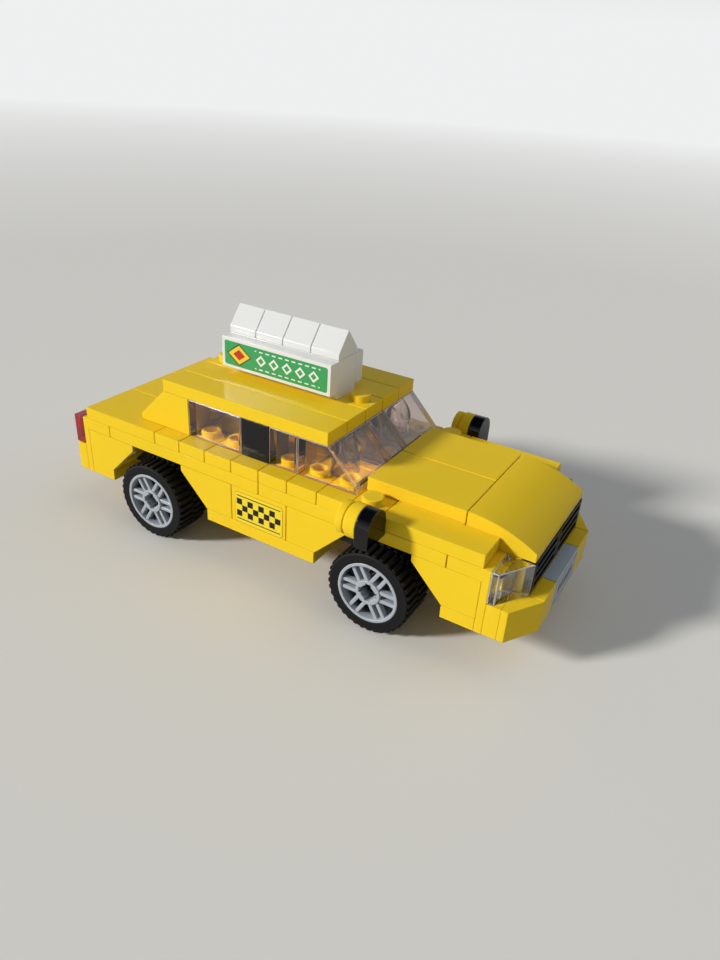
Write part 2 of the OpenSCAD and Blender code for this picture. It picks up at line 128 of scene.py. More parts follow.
def add_math(tree, operation, first, second):
    """A Math node; either input may be a socket or a number."""
    node = tree.nodes.new("ShaderNodeMath")
    node.operation = operation
    for place, value in enumerate((first, second)):
        if isinstance(value, (int, float)):
            node.inputs[place].default_value = value
        else:
            wire(tree, value, node.inputs[place])
    return node.outputs[0]


def add_mix(tree, amount, low, high):
    """Mixes two colours; each argument may be a socket or a value."""
    node = tree.nodes.new("ShaderNodeMix")
    node.data_type = "RGBA"
    for place, value in ((0, amount), (6, low), (7, high)):
        if isinstance(value, (int, float, tuple)):
            node.inputs[place].default_value = value
        else:
            wire(tree, value, node.inputs[place])
    return node.outputs[2]


def new_group(name, inputs, outputs):
    """An empty node group with named sockets."""
    group = bpy.data.node_groups.new(name, "ShaderNodeTree")
    for label, kind, value in inputs:
        socket = group.interface.new_socket(name=label, in_out="INPUT", socket_type=kind)
        socket.default_value = value
    for label, kind in outputs:
        group.interface.new_socket(name=label, in_out="OUTPUT", socket_type=kind)
    return group, group.nodes.new("NodeGroupInput"), group.nodes.new("NodeGroupOutput")


def add_range(tree, value, low, high, new_low=0.0, new_high=1.0):
    node = add_node(tree, "ShaderNodeMapRange")
    wire(tree, value, node.inputs["Value"])
    for name, number in (("From Min", low), ("From Max", high),
                         ("To Min", new_low), ("To Max", new_high)):
        node.inputs[name].default_value = number
    return node.outputs[0]


# %% Build the moulded surface group
def build_moulded_surface():
    """Pigment clouds, uneven gloss, fine scratches, rubbed edges with a painted highlight, and
    painted seam shade.
    """
    group, given, result = new_group(
        "moulded_surface",
        [("Colour", "NodeSocketColor", (0.8, 0.8, 0.8, 1.0)),
         ("Gloss Roughness", "NodeSocketFloat", 0.2),
         ("Cloud", "NodeSocketFloat", 0.05),
         ("Scratch", "NodeSocketFloat", 0.1),
         ("Edge Wear And Highlight", "NodeSocketFloat", 0.2)],
        [("Colour", "NodeSocketColor"), ("Roughness", "NodeSocketFloat"),
         ("Height", "NodeSocketFloat")])
    place = add_node(group, "ShaderNodeTexCoord").outputs["Object"]

    clouds = add_node(group, "ShaderNodeTexNoise", Scale=110.0, Detail=3.0, Roughness=0.5)
    wire(group, place, clouds.inputs["Vector"])
    cloud = add_range(group, clouds.outputs["Fac"], 0.3, 0.7)

    polish = add_node(group, "ShaderNodeTexNoise", Scale=420.0, Detail=4.0, Roughness=0.6)
    wire(group, place, polish.inputs["Vector"])

    grain = add_node(group, "ShaderNodeTexNoise", Scale=5200.0, Detail=2.0)
    wire(group, place, grain.inputs["Vector"])

    # Two sets of stretched noise cross each other as hair-fine scratches.
    scratches = []
    for turn, stretch in ((0.5, (15000.0, 420.0, 420.0)), (-0.9, (380.0, 17000.0, 380.0))):
        lay = add_node(group, "ShaderNodeMapping")
        lay.inputs["Rotation"].default_value = (0.3, 0.2, turn)
        lay.inputs["Scale"].default_value = stretch
        wire(group, place, lay.inputs["Vector"])
        lines = add_node(group, "ShaderNodeTexNoise", Scale=1.0, Detail=1.0)
        wire(group, lay.outputs["Vector"], lines.inputs["Vector"])
        scratches.append(add_range(group, lines.outputs["Fac"], 0.69, 0.77))
    scratch = add_math(group, "MAXIMUM", scratches[0], scratches[1])
    scratch = add_math(group, "MULTIPLY", scratch, given.outputs["Scratch"])

    # Marked rounds: lightened as wear and painted highlight, darkened as painted shade where they
    # face down.
    rounded_mark = add_node(group, "ShaderNodeAttribute", attribute_name="rounded_edge")
    edge = add_math(group, "MULTIPLY", rounded_mark.outputs["Fac"], polish.outputs["Fac"])
    edge = add_math(group, "MULTIPLY", edge, given.outputs["Edge Wear And Highlight"])

    darker = add_node(group, "ShaderNodeHueSaturation", Saturation=1.01, Value=0.88)
    wire(group, given.outputs["Colour"], darker.inputs["Color"])
    # Rubbed rounds turn pale cream: partly real wear, partly a painted highlight.
    worn_and_highlit = add_mix(group, 0.45, given.outputs["Colour"], (0.95, 0.93, 0.88, 1.0))
    flow = add_math(group, "MULTIPLY", cloud, given.outputs["Cloud"])
    colour = add_mix(group, flow, given.outputs["Colour"], darker.outputs["Color"])
    colour = add_mix(group, edge, colour, worn_and_highlit)

    # Rounds that face down lie in the seams between stacked bricks; their colour is darkened there
    # as painted shade.
    facing = add_node(group, "ShaderNodeSeparateXYZ")
    wire(group, add_node(group, "ShaderNodeNewGeometry").outputs["True Normal"], facing.inputs[0])
    seam = add_range(group, facing.outputs["Z"], -0.15, -0.5, 0.0, 0.6)
    seam = add_math(group, "MULTIPLY", seam, rounded_mark.outputs["Fac"])
    painted_seam_shade = add_node(group, "ShaderNodeHueSaturation", Value=0.25)
    wire(group, given.outputs["Colour"], painted_seam_shade.inputs["Color"])
    colour = add_mix(group, seam, colour, painted_seam_shade.outputs["Color"])
    wire(group, colour, result.inputs["Colour"])

    uneven = add_range(group, polish.outputs["Fac"], 0.25, 0.75, -0.02, 0.035)
    rough = add_math(group, "ADD", given.outputs["Gloss Roughness"], uneven)
    rough = add_math(group, "ADD", rough, add_math(group, "MULTIPLY", scratch, 0.25))
    rough = add_math(group, "ADD", rough, add_math(group, "MULTIPLY", edge, 0.25))
    wire(group, rough, result.inputs["Roughness"])

    height = add_math(group, "MULTIPLY", cloud, 0.6)
    height = add_math(group, "ADD", height, add_math(group, "MULTIPLY", grain.outputs["Fac"], 0.05))
    height = add_math(group, "SUBTRACT", height, add_math(group, "MULTIPLY", scratch, 0.4))
    wire(group, height, result.inputs["Height"])
    return group


moulded_surface = build_moulded_surface()
print("group", moulded_surface.name, "has", len(moulded_surface.nodes), "nodes")


# %% [markdown]
# ## The finishes
#
# A brick's plastic is dense and glossy: a base colour under a clear, slightly uneven surface. The
# same recipe with another colour and polish gives the yellow, white, grey and black bricks. The
# glossy black of the mirrors has almost no roughness. Rubber is rough and grainy.

# %% Opaque plastics
def new_material(name):
    material = bpy.data.materials.new(name)
    material.use_nodes = True
    tree = material.node_tree
    shader = tree.nodes["Principled BSDF"]
    return material, tree, shader


def add_surface(tree, shader, colour, roughness, cloud, scratch, wear_and_highlight, bump, bump_height):
    """Feeds a shader's colour, roughness and normal from the moulded surface group."""
    surface = add_node(tree, "ShaderNodeGroup")
    surface.node_tree = moulded_surface
    surface.inputs["Colour"].default_value = (*colour, 1.0)
    surface.inputs["Gloss Roughness"].default_value = roughness
    surface.inputs["Cloud"].default_value = cloud
    surface.inputs["Scratch"].default_value = scratch
    surface.inputs["Edge Wear And Highlight"].default_value = wear_and_highlight
    wire(tree, surface.outputs["Colour"], shader.inputs["Base Color"])
    wire(tree, surface.outputs["Roughness"], shader.inputs["Roughness"])
    relief = add_node(tree, "ShaderNodeBump", Strength=bump)
    relief.inputs["Distance"].default_value = bump_height
    wire(tree, surface.outputs["Height"], relief.inputs["Height"])
    wire(tree, relief.outputs["Normal"], shader.inputs["Normal"])


def moulded_plastic(name, colour, roughness=0.2, gloss=0.3, cloud=0.14, scratch=0.2, wear_and_highlight=0.22,
                    bump=0.01):
    """Glossy moulded plastic of one colour."""
    material, tree, shader = new_material(name)
    add_surface(tree, shader, colour, roughness, cloud, scratch, wear_and_highlight, bump, 0.4 * mm)
    shader.inputs["IOR"].default_value = 1.53
    shader.inputs["Specular IOR Level"].default_value = gloss
    material.diffuse_color = (*colour, 1.0)
    return material


yellow_abs = moulded_plastic("yellow_abs", (0.95, 0.645, 0.026), roughness=0.012, gloss=0.04,
                             wear_and_highlight=0.02)
white_abs = moulded_plastic("white_abs", (0.82, 0.82, 0.81), roughness=0.11, cloud=0.1)
black_abs = moulded_plastic("black_abs", (0.012, 0.012, 0.013), roughness=0.14, gloss=0.18,
                            wear_and_highlight=0.05, scratch=0.1)
mirror_black = moulded_plastic("mirror_black", (0.002, 0.002, 0.003), roughness=0.04, gloss=0.4,
                               wear_and_highlight=0.03, scratch=0.05)
deep_black = moulded_plastic("deep_black", (0.003, 0.003, 0.004), roughness=0.3, gloss=0.12,
                             wear_and_highlight=0.05)
core_grey = moulded_plastic("core_grey", (0.03, 0.031, 0.034), roughness=0.24)
rim_grey = moulded_plastic("rim_grey", (0.42, 0.46, 0.51), roughness=0.2, wear_and_highlight=0.15)
print("opaque plastics:", [finish.name for finish in (
    yellow_abs, white_abs, black_abs, mirror_black, deep_black, core_grey, rim_grey)])


# %% [markdown]
# ## Clear plastics
#
# The windows are smoky brown, the headlamps are clear and the tail lamps are red. They are hollow
# bricks with real walls, so each ray crosses four or more surfaces. At the full refraction of the
# plastic the hidden walls would break the view into shards, which the real panes hardly do, so the
# bending is set low and a clear coat gives the surface its gloss back. The rounds along the edges
# of windows and headlamps catch the light, so they get a duller, less clear finish of their own.

# %% Clear plastics
def clear_plastic(name, colour, roughness=0.03, ior=1.2, pebble=0.02, wear_and_highlight=0.3, through=1.0):
    """Transparent moulded plastic, tinted all through."""
    material, tree, shader = new_material(name)
    add_surface(tree, shader, colour, roughness, 0.1, 0.1, wear_and_highlight, pebble, 0.3 * mm)
    shader.inputs["Transmission Weight"].default_value = through
    shader.inputs["IOR"].default_value = ior
    shader.inputs["Coat Weight"].default_value = 1.0
    shader.inputs["Coat Roughness"].default_value = 0.04
    # Rays from lamps pass tinted, so that the light reaches the studs behind the plastic.
    passing = add_node(tree, "ShaderNodeBsdfTransparent", Color=(*[c ** 0.5 for c in colour], 1.0))
    path = add_node(tree, "ShaderNodeLightPath")
    choice = add_node(tree, "ShaderNodeMixShader")
    wire(tree, path.outputs["Is Shadow Ray"], choice.inputs[0])
    wire(tree, shader.outputs[0], choice.inputs[1])
    wire(tree, passing.outputs[0], choice.inputs[2])
    wire(tree, choice.outputs[0], tree.nodes["Material Output"].inputs["Surface"])
    material.diffuse_color = (*colour, 0.5)
    return material


smoky_clear = clear_plastic("smoky_clear", (0.88, 0.79, 0.74))
smoky_edge = clear_plastic("smoky_edge", (0.62, 0.53, 0.54), roughness=0.2, ior=1.4, through=0.45)
lamp_clear = clear_plastic("lamp_clear", (0.99, 0.99, 0.985), ior=1.45, pebble=0.12, wear_and_highlight=0.8)
lamp_edge = clear_plastic("lamp_edge", (0.9, 0.89, 0.87), roughness=0.16, ior=1.45, through=0.5)
lamp_red = clear_plastic("lamp_red", (0.62, 0.012, 0.02))
print("clear plastics:", smoky_clear.name, lamp_clear.name, lamp_red.name)


# %% [markdown]
# ## Prints
#
# Prints on such bricks are thin, even films of ink with crisp edges. They could be image textures,
# but plain shapes are drawn more sharply by a few numbers: a rounded panel and a diamond are each a
# distance formula, and a row of them is the same formula on a coordinate that wraps round. All of
# them read the piece's own coordinates in millimetres, so the print stays where it was pressed.

# %% Shapes for prints
def build_panel_shape():
    """A rectangle with round corners: 1 inside, 0 outside."""
    group, given, result = new_group(
        "panel_shape",
        [("Across", "NodeSocketFloat", 0.0), ("Up", "NodeSocketFloat", 0.0),
         ("Half Width", "NodeSocketFloat", 1.0), ("Half Height", "NodeSocketFloat", 1.0),
         ("Corner", "NodeSocketFloat", 0.2)],
        [("Mask", "NodeSocketFloat")])
    over = []
    for place, half in (("Across", "Half Width"), ("Up", "Half Height")):
        away = add_math(group, "ABSOLUTE", given.outputs[place], 0.0)
        away = add_math(group, "SUBTRACT", away, given.outputs[half])
        away = add_math(group, "ADD", away, given.outputs["Corner"])
        over.append(add_math(group, "MAXIMUM", away, 0.0))
    square = add_math(group, "ADD", add_math(group, "MULTIPLY", over[0], over[0]),
                      add_math(group, "MULTIPLY", over[1], over[1]))
    far = add_math(group, "SUBTRACT", add_math(group, "SQRT", square, 0.0), given.outputs["Corner"])
    wire(group, add_range(group, far, 0.02, -0.02), result.inputs["Mask"])
    return group


def build_diamond_shape():
    """A diamond: 1 inside, 0 outside."""
    group, given, result = new_group(
        "diamond_shape",
        [("Across", "NodeSocketFloat", 0.0), ("Up", "NodeSocketFloat", 0.0),
         ("Half Width", "NodeSocketFloat", 1.0), ("Half Height", "NodeSocketFloat", 1.0)],
        [("Mask", "NodeSocketFloat")])
    share = []
    for place, half in (("Across", "Half Width"), ("Up", "Half Height")):
        away = add_math(group, "ABSOLUTE", given.outputs[place], 0.0)
        share.append(add_math(group, "DIVIDE", away, given.outputs[half]))
    total = add_math(group, "ADD", share[0], share[1])
    wire(group, add_range(group, total, 1.02, 0.98), result.inputs["Mask"])
    return group


panel_shape = build_panel_shape()
diamond_shape = build_diamond_shape()


def add_shape(tree, shape, across, up, half_width, half_height, corner=None):
    """Places one of the shapes; across and up are sockets in millimetres."""
    node = tree.nodes.new("ShaderNodeGroup")
    node.node_tree = shape
    wire(tree, across, node.inputs["Across"])
    wire(tree, up, node.inputs["Up"])
    node.inputs["Half Width"].default_value = half_width
    node.inputs["Half Height"].default_value = half_height
    if corner is not None:
        node.inputs["Corner"].default_value = corner
    return node.outputs["Mask"]


def add_wrap(tree, value, period):
    """The distance to the nearest multiple of a period."""
    node = tree.nodes.new("ShaderNodeMath")
    node.operation = "WRAP"
    wire(tree, value, node.inputs[0])
    node.inputs[1].default_value = period / 2
    node.inputs[2].default_value = -period / 2
    return node.outputs[0]


print("print shapes:", panel_shape.name, diamond_shape.name)


# %% Millimetres on a printed face
def add_millimetres(tree, centre):
    """X, Y and Z in millimetres from a centre given in metres."""
    place = add_node(tree, "ShaderNodeTexCoord").outputs["Object"]
    shift = add_node(tree, "ShaderNodeVectorMath", operation="SUBTRACT")
    wire(tree, place, shift.inputs[0])
    shift.inputs[1].default_value = centre
    scale = add_node(tree, "ShaderNodeVectorMath", operation="SCALE")
    wire(tree, shift.outputs[0], scale.inputs[0])
    scale.inputs["Scale"].default_value = 1000.0
    split = add_node(tree, "ShaderNodeSeparateXYZ")
    wire(tree, scale.outputs[0], split.inputs[0])
    return split.outputs["X"], split.outputs["Y"], split.outputs["Z"]


def printed_plastic(name, ground, roughness, centre, draw):
    """Moulded plastic with a print.

    draw(tree, x, y, z, colour) gives the printed colour and the ink's mask.
    """
    material = moulded_plastic(name, ground, roughness=roughness, cloud=0.08)
    tree = material.node_tree
    surface = next(node for node in tree.nodes if node.type == "GROUP")
    relief = next(node for node in tree.nodes if node.type == "BUMP")
    shader = tree.nodes["Principled BSDF"]
    colour, ink = draw(tree, *add_millimetres(tree, centre), surface.outputs["Colour"])
    wire(tree, colour, shader.inputs["Base Color"])
    duller = add_math(tree, "MULTIPLY", ink, 0.07)
    raised = add_math(tree, "MULTIPLY", ink, 1.2)
    wire(tree, add_math(tree, "ADD", surface.outputs["Roughness"], duller),
         shader.inputs["Roughness"])
    wire(tree, add_math(tree, "ADD", surface.outputs["Height"], raised), relief.inputs["Height"])
    return material


print("a print is laid by its distance from the centre of its face")


# %% [markdown]
# ## The roof sign's print
#
# Each long side of the sign carries a green panel with a thin white edge. On it lie two dashed
# lines, a row of hollow diamonds between them and one bright diamond beside them. The left side
# turns the print round, so that both sides read the same way to someone who stands beside them.

# %% Print the roof sign
def box_centre(node):
    low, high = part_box(node)
    return tuple((a + b) / 2 for a, b in zip(low, high))


sign_low, sign_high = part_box("sign_panels")
sign_half_y = (sign_high[1] - sign_low[1]) / 2 / mm
ink_green = (0.045, 0.37, 0.125, 1.0)
ink_white = (0.86, 0.86, 0.84, 1.0)
ink_yellow = (0.90, 0.62, 0.05, 1.0)
ink_red = (0.62, 0.03, 0.018, 1.0)
ink_black = (0.012, 0.012, 0.012, 1.0)

# The print's sizes in millimetres, from the middle of the face.
print_depth = 0.06
panel_half = (15.05, 3.05)
row_middle = 3.6
row_half = 9.4
dash_step = 1.9
dash_height = 2.2
diamond_step = 3.8
badge_away = 10.6


def draw_sign(tree, x, y, z, colour):
    facing = add_math(tree, "SIGN", y, 0.0)
    across = add_math(tree, "MULTIPLY", add_math(tree, "MULTIPLY", x, facing), -1.0)
    outer = add_math(tree, "GREATER_THAN", add_math(tree, "ABSOLUTE", y, 0.0),
                     sign_half_y - print_depth)
    ground = add_shape(tree, panel_shape, across, z, *panel_half, 0.6)
    ground = add_math(tree, "MULTIPLY", ground, outer)
    colour = add_mix(tree, ground, colour, ink_green)

    row = add_math(tree, "SUBTRACT", across, row_middle)
    dash = add_shape(tree, panel_shape, add_wrap(tree, row, dash_step), z, 0.55, 9.0, 0.1)
    for height in (-dash_height, dash_height):
        level = add_math(tree, "SUBTRACT", z, height)
        line = add_shape(tree, panel_shape, row, level, row_half, 0.16, 0.05)
        mark = add_math(tree, "MULTIPLY", add_math(tree, "MULTIPLY", line, dash), outer)
        colour = add_mix(tree, mark, colour, ink_white)
    big = add_shape(tree, diamond_shape, add_wrap(tree, row, diamond_step), z, 1.5, 1.45)
    hollow = add_shape(tree, diamond_shape, add_wrap(tree, row, diamond_step), z, 0.85, 0.8)
    span = add_shape(tree, panel_shape, row, z, row_half, 2.0, 0.1)
    big = add_math(tree, "MULTIPLY", big, add_math(tree, "MULTIPLY", span, outer))
    colour = add_mix(tree, big, colour, ink_white)
    hollow = add_math(tree, "MULTIPLY", hollow, add_math(tree, "MULTIPLY", span, outer))
    colour = add_mix(tree, hollow, colour, ink_green)

    badge = add_math(tree, "ADD", across, badge_away)
    for half_width, half_height, ink in ((3.7, 2.8, ink_black), (3.3, 2.45, ink_yellow),
                                         (1.75, 1.3, ink_black), (1.5, 1.1, ink_red)):
        mark = add_shape(tree, diamond_shape, badge, z, half_width, half_height)
        colour = add_mix(tree, add_math(tree, "MULTIPLY", mark, outer), colour, ink)
    return colour, ground


sign_print = printed_plastic("sign_print", (0.83, 0.83, 0.82), 0.14,
                             box_centre("sign_panels"), draw_sign)
print("sign panel, mm:", [round((b - a) / mm, 1) for a, b in zip(sign_low, sign_high)])

# %% [markdown]
# ## The door labels
#
# Each door carries a thin label over most of its outer face: a taxi's band of checks between two
# rules, on a yellow ground with a fine dark line round it. The label is its own film, a few
# hundredths of a millimetre thick, so that its edge catches the light by itself.

# %% Print the door labels
door_low, door_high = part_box("door_right")
door_face = -door_low[1]
label_width = 14.0 * mm
label_height = 8.4 * mm
label_corner = 1.0 * mm
label_forward = 0.1 * mm
label_thickness = 0.06 * mm
label_rise = 0.2 * mm
label_centre = ((door_low[0] + door_high[0]) / 2 + label_forward, 0.0,
                door_low[2] + label_height / 2 + label_rise)
check = 1.6
rule_height = 3.15
edge_line = 0.13
edge_brown = (0.62, 0.36, 0.01, 1.0)


def draw_label(tree, x, y, z, colour):
    inside = add_shape(tree, panel_shape, x, z, label_width / mm / 2 - edge_line,
                       label_height / mm / 2 - edge_line, 0.9)
    edge = add_math(tree, "SUBTRACT", 1.0, inside)
    colour = add_mix(tree, edge, colour, edge_brown)
    column = add_math(tree, "FLOOR", add_math(tree, "DIVIDE", x, check), 0.0)
    above = add_math(tree, "ADD", z, check / 2)
    row = add_math(tree, "FLOOR", add_math(tree, "DIVIDE", above, check), 0.0)
    odd = add_math(tree, "FLOORED_MODULO", add_math(tree, "ADD", column, row), 2.0)
    band = add_shape(tree, panel_shape, x, z, 4 * check, 1.5 * check, 0.02)
    checks = add_math(tree, "MULTIPLY", odd, band)
    ruled = checks
    for height in (-rule_height, rule_height):
        level = add_math(tree, "SUBTRACT", z, height)
        line = add_shape(tree, panel_shape, x, level, 4 * check, 0.13, 0.02)
        ruled = add_math(tree, "MAXIMUM", ruled, line)
    return add_mix(tree, ruled, colour, ink_black), ruled


label_film = printed_plastic("label_film", (0.96, 0.72, 0.03), 0.12, label_centre, draw_label)
print("label:", round(label_width / mm, 1), "by", round(label_height / mm, 1), "mm")


# %% [markdown]
# ## The number plates
#
# The plates at the front and the rear are light grey tiles with a thin dark frame round a row of
# small dark diamonds.

# %% Print the number plates
frame_outside = (7.1, 3.1)
frame_inside = (6.85, 2.85)
plate_grey = (0.47, 0.54, 0.60)
plate_ink = (0.012, 0.02, 0.03, 1.0)


def draw_plate(tree, x, y, z, colour):
    outer = add_math(tree, "GREATER_THAN", add_math(tree, "ABSOLUTE", x, 0.0),
                     plate_half_x - print_depth)
    frame_out = add_shape(tree, panel_shape, y, z, *frame_outside, 0.5)
    frame_in = add_shape(tree, panel_shape, y, z, *frame_inside, 0.4)
    line = add_math(tree, "SUBTRACT", frame_out, frame_in)
    marks = add_shape(tree, diamond_shape, add_wrap(tree, y, 2.1), z, 0.95, 1.9)
    span = add_shape(tree, panel_shape, y, z, 5.25, 2.0, 0.1)
    marks = add_math(tree, "MAXIMUM", add_math(tree, "MULTIPLY", marks, span), line)
    marks = add_math(tree, "MULTIPLY", marks, outer)
    return add_mix(tree, marks, colour, plate_ink), marks


plate_low, plate_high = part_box("number_plate_front")
plate_half_x = (plate_high[0] - plate_low[0]) / 2 / mm
plate_print_front = printed_plastic("plate_print_front", plate_grey, 0.15,
                                    box_centre("number_plate_front"), draw_plate)
plate_print_rear = printed_plastic("plate_print_rear", plate_grey, 0.15,
                                   box_centre("number_plate_rear"), draw_plate)
print("number plate is", round(plate_half_x * 2, 2), "mm thick")


# %% [markdown]
# ## Rounding a brick's edges
#
# A mould can't make a knife edge: every outer edge of a brick is rounded by a tenth of a
# millimetre or two, and that thin round catches the light as a bright line beside each dark seam.
# The frame's node has the exact shape but sharp edges. So a copy of it is merged into a solid mesh,
# its flat faces are joined, its outward edges are found in code and bevelled, and the new narrow
# faces are marked, so that the finish can turn them a little lighter, as wear and painted
# highlight, or darken them as painted shade where they face down into a seam. On windows and
# headlamps they take the second finish.

# %% Helpers for edit mode
def deselect_all():
    if bpy.context.object and bpy.context.object.mode != "OBJECT":
        bpy.ops.object.mode_set(mode="OBJECT")
    bpy.ops.object.select_all(action="DESELECT")


def make_active(piece):
    deselect_all()
    piece.select_set(True)
    bpy.context.view_layer.objects.active = piece


def copy_of_node(node, name):
    """A merged copy of a node's mesh, with its flat faces joined."""
    piece = bpy.data.objects.new(name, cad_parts[node].data.copy())
    bpy.context.scene.collection.objects.link(piece)
    piece.data.materials.clear()
    make_active(piece)
    bpy.ops.object.mode_set(mode="EDIT")
    bpy.ops.mesh.select_all(action="SELECT")
    bpy.ops.mesh.remove_doubles(threshold=0.000002)
    bpy.ops.mesh.dissolve_limited(angle_limit=radians(0.5))
    bpy.ops.object.mode_set(mode="OBJECT")
    return piece


def select_outward_edges(piece, least_turn=radians(28)):
    """In edit mode, selects the edges that stick outwards, and says how many."""
    bpy.ops.mesh.select_all(action="DESELECT")
    bpy.ops.mesh.select_mode(type="EDGE")
    shape = bmesh.from_edit_mesh(piece.data)
    count = 0
    for edge in shape.edges:
        if len(edge.link_faces) == 2 and edge.calc_face_angle_signed() > least_turn:
            edge.select_set(True)
            count += 1
    bmesh.update_edit_mesh(piece.data)
    return count


def round_edges(piece, width=edge_round, steps=2, finishes=None):
    """Bevels the outward edges and marks the new faces, for wear, painted highlight and painted
    seam shade.

    finishes is a pair for clear plastic: one for the faces and one for the rounds.
    """
    make_active(piece)
    piece.data.materials.clear()
    piece.data.materials.append(None)
    piece.data.materials.append(None)
    bpy.ops.object.mode_set(mode="EDIT")
    count = select_outward_edges(piece)
    if count:
        bpy.ops.mesh.bevel(offset=width, segments=steps, profile=0.5, affect="EDGES",
                           clamp_overlap=False, material=1)
    bpy.ops.object.mode_set(mode="OBJECT")
    round_marks = [float(face.material_index) for face in piece.data.polygons]
    mark = piece.data.attributes.new("rounded_edge", "FLOAT", "FACE")
    mark.data.foreach_set("value", round_marks)
    if finishes:
        for place, finish in enumerate(finishes):
            piece.data.materials[place] = finish
    else:
        piece.data.polygons.foreach_set("material_index", [0] * len(round_marks))
        piece.data.materials.clear()
    return count


def smooth_rounds(piece, angle=radians(50)):
    """Shades the rounds smooth while large flat faces stay flat."""
    make_active(piece)
    bpy.ops.object.shade_smooth_by_angle(angle=angle)
    weighted = piece.modifiers.new("flat_faces", "WEIGHTED_NORMAL")
    weighted.keep_sharp = True
    bpy.ops.object.modifier_apply(modifier=weighted.name)


def dress(piece, material, body, slot, *nodes):
    """Gives a finished piece its material and body, and hides the nodes it stands for; slot is not
    used.
    """
    if not piece.data.materials:
        piece.data.materials.append(material)
    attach(piece, body)
    if nodes:
        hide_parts(*nodes)


def mould(node, material, slot, body="car", width=edge_round, finishes=None):
    """A finished, rounded piece that stands for one node of the frame."""
    piece = copy_of_node(node, node + "_moulded")
    count = round_edges(piece, width, finishes=finishes)
    smooth_rounds(piece)
    dress(piece, material, body, slot, node)
    print(f"{piece.name}: {count} edges rounded, {len(piece.data.polygons)} faces")


# %% [markdown]
# ## The yellow body
#
# Floor, arches, doors, belt line, pillars, roof and bonnet are all yellow bricks, plates and tiles.
# Each keeps its own piece, so each has its own rounded edges and a real seam to its neighbour.

# %% Mould the yellow pieces
yellow_nodes = [
    "bottom_plate_middle", "bottom_plate_rear", "bottom_plate_front",
    "floor_plate_rear", "floor_plate_front", "rear_arches", "front_arches", "sill_slopes",
    "door_left", "door_right", "front_brackets", "rear_brackets",
    "belt_plates_left", "belt_plates_right", "belt_plates_middle", "trunk_tiles", "c_pillars",
    "roof_tiles", "roof_centre_plate", "hood_tiles", "hood_curve", "hood_plates", "fender_tiles",
    "bumper_beam", "front_plates", "bumper_trim", "tailgate_tiles",
]
for node in yellow_nodes:
    mould(node, yellow_abs, "yellow")
mould("mirror_brackets", yellow_abs, "yellow", width=0.25 * mm)

# %% [markdown]
# ## The mirrors' round plates
#
# A round one-stud plate isn't one smooth cylinder. Its foot is a narrower ring, and the groove that
# this leaves beside the bracket's ear shows as a dark line. The plate is turned here as on a lathe:
# each face is extruded from the last one, and is widened or inset before the next step.

# %% Turn the round plates
stem_low, stem_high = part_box("mirror_stems")
stem_radius = (stem_high[2] - stem_low[2]) / 2
stem_middle = (stem_high[2] + stem_low[2]) / 2
foot_radius = stem_radius - 0.55 * mm
foot_length = 0.6 * mm
stud_radius = 2.4 * mm


def grow(length, wider=1.0):
    """Extrudes the selected face forwards, then widens it about the plate's axis."""
    bpy.ops.mesh.extrude_region_move(TRANSFORM_OT_translate={"value": (length, 0.0, 0.0)})
    bpy.ops.transform.resize(value=(1.0, wider, wider), center_override=stem_axis)


deselect_all()
stem_axis = (stem_low[0], -(stem_high[1] - stem_radius), stem_middle)
bpy.ops.mesh.primitive_circle_add(vertices=72, radius=foot_radius, fill_type="NGON",
                                  location=stem_axis, rotation=(0.0, pi / 2, 0.0))
stem = bpy.context.object
stem.name = "mirror_stems_turned"
bpy.ops.object.transform_apply(location=True, rotation=True, scale=True)
bpy.ops.object.mode_set(mode="EDIT")
bpy.ops.mesh.select_mode(type="FACE")
bpy.ops.mesh.select_all(action="SELECT")
grow(foot_length)
grow(0.0, stem_radius / foot_radius)
grow(plate - foot_length)
grow(0.0, stud_radius / stem_radius)
grow(stem_high[0] - stem_low[0] - plate)
bpy.ops.mesh.select_all(action="SELECT")
bpy.ops.mesh.remove_doubles(threshold=0.000002)
bpy.ops.mesh.select_mode(type="EDGE")
bpy.ops.mesh.select_all(action="DESELECT")
bpy.ops.mesh.select_non_manifold()
bpy.ops.mesh.edge_face_add()
bpy.ops.mesh.select_all(action="SELECT")
bpy.ops.mesh.normals_make_consistent(inside=False)
bpy.ops.mesh.duplicate_move(TRANSFORM_OT_translate={"value": (0.0, -2 * stem_axis[1], 0.0)})
bpy.ops.object.mode_set(mode="OBJECT")
count = round_edges(stem, 0.2 * mm)
smooth_rounds(stem)
dress(stem, yellow_abs, "car", "yellow", "mirror_stems")
print(stem.name, "has", count, "rounded edges")

# %% Mould the other opaque pieces
for node in ("rear_wheel_holder", "front_wheel_holder", "b_pillars"):
    mould(node, black_abs, "black")
mould("mirrors", mirror_black, "gloss_black", width=0.2 * mm)
mould("grille_tiles", deep_black, "gloss_black", width=0.1 * mm)
mould("number_plate_front", plate_print_front, "light_grey")
mould("number_plate_rear", plate_print_rear, "light_grey")
for node in ("sign_core", "sign_ridges"):
    mould(node, white_abs, "white")
mould("sign_panels", sign_print, "white")


